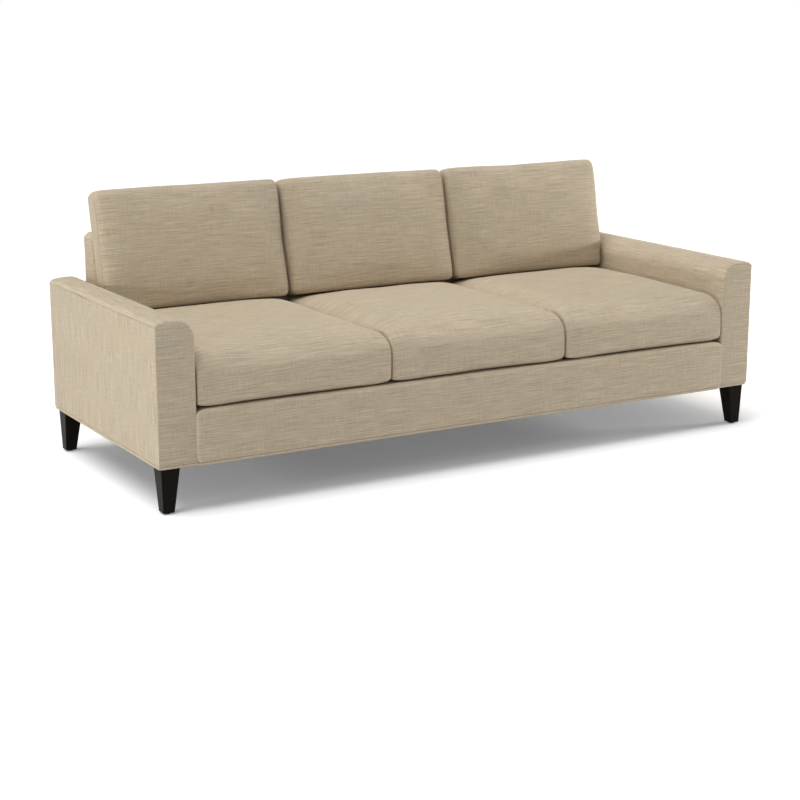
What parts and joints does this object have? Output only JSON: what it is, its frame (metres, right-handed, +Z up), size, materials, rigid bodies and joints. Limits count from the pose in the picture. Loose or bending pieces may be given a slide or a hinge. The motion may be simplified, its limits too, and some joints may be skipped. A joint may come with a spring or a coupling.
{
  "type": "square arm sofa",
  "caption": "Sofa with square track arms, loose box seat cushions and back cushions on a webbed hardwood frame, with piping round the base and tapered wooden legs.",
  "frame": {"origin": "on the floor, under the middle of the sofa", "axes": "+X to the viewer's right when looking at the front, +Y to the back, +Z up; the front faces -Y"},
  "size_m": [2.2, 0.884, 0.853],
  "materials": {
    "upholstery": "matte",
    "deck_cloth": "matte",
    "dust_cloth": "matte",
    "webbing": "matte",
    "foam": "matte",
    "frame_wood": "matte",
    "leg_wood": "satin",
    "steel": "satin",
    "glide_plastic": "matte"
  },
  "bodies": {
    "sofa_frame": {"back_lower_rail": "frame_wood", "back_posts": "frame_wood", "back_top_rail": "frame_wood", "base_welt": "upholstery", "corner_blocks": "frame_wood", "cross_webbing": "webbing", "deck_pad": "deck_cloth", "dust_cover": "dust_cloth", "front_border": "upholstery", "front_left_leg": "leg_wood", "front_right_leg": "leg_wood", "front_seat_rail": "frame_wood", "inside_back_cover": "upholstery", "left_arm_front_panel": "upholstery", "left_arm_tack_rail": "frame_wood", "left_arm_top_rail": "frame_wood", "left_front_arm_post": "frame_wood", "left_inside_arm_cover": "upholstery", "left_outside_arm_panel": "upholstery", "left_rear_arm_post": "frame_wood", "left_side_rail": "frame_wood", "leg_glides": "glide_plastic", "leg_hanger_bolts": "steel", "leg_square_nuts": "steel", "outside_back_panel": "upholstery", "rear_base_rail": "frame_wood", "rear_left_leg": "leg_wood", "rear_right_leg": "leg_wood", "rear_seat_rail": "frame_wood", "right_arm_front_panel": "upholstery", "right_arm_tack_rail": "frame_wood", "right_arm_top_rail": "frame_wood", "right_front_arm_post": "frame_wood", "right_inside_arm_cover": "upholstery", "right_outside_arm_panel": "upholstery", "right_rear_arm_post": "frame_wood", "right_side_rail": "frame_wood", "seat_stretchers": "frame_wood", "seat_webbing": "webbing"},
    "left_seat_cushion": {"left_seat_cushion_cover": "upholstery", "left_seat_cushion_core": "foam", "left_seat_cushion_zip_panel": "upholstery"},
    "centre_seat_cushion": {"centre_seat_cushion_cover": "upholstery", "centre_seat_cushion_core": "foam", "centre_seat_cushion_zip_panel": "upholstery"},
    "right_seat_cushion": {"right_seat_cushion_cover": "upholstery", "right_seat_cushion_core": "foam", "right_seat_cushion_zip_panel": "upholstery"},
    "left_back_cushion": {"left_back_cushion_cover": "upholstery", "left_back_cushion_core": "foam", "left_back_cushion_zip_panel": "upholstery"},
    "centre_back_cushion": {"centre_back_cushion_cover": "upholstery", "centre_back_cushion_core": "foam", "centre_back_cushion_zip_panel": "upholstery"},
    "right_back_cushion": {"right_back_cushion_cover": "upholstery", "right_back_cushion_core": "foam", "right_back_cushion_zip_panel": "upholstery"}
  },
  "joints": [
    {"name": "left_seat_cushion_slide", "type": "slide", "parent": "sofa_frame", "child": "left_seat_cushion", "axis": [0, -1, 0], "range_m": [0, 0.75]},
    {"name": "centre_seat_cushion_slide", "type": "slide", "parent": "sofa_frame", "child": "centre_seat_cushion", "axis": [0, -1, 0], "range_m": [0, 0.75]},
    {"name": "right_seat_cushion_slide", "type": "slide", "parent": "sofa_frame", "child": "right_seat_cushion", "axis": [0, -1, 0], "range_m": [0, 0.75]},
    {"name": "left_back_cushion_slide", "type": "slide", "parent": "sofa_frame", "child": "left_back_cushion", "axis": [0, 0.1822, 0.9833], "range_m": [0, 0.45]},
    {"name": "centre_back_cushion_slide", "type": "slide", "parent": "sofa_frame", "child": "centre_back_cushion", "axis": [0, 0.1822, 0.9833], "range_m": [0, 0.45]},
    {"name": "right_back_cushion_slide", "type": "slide", "parent": "sofa_frame", "child": "right_back_cushion", "axis": [0, 0.1822, 0.9833], "range_m": [0, 0.45]}
  ]
}
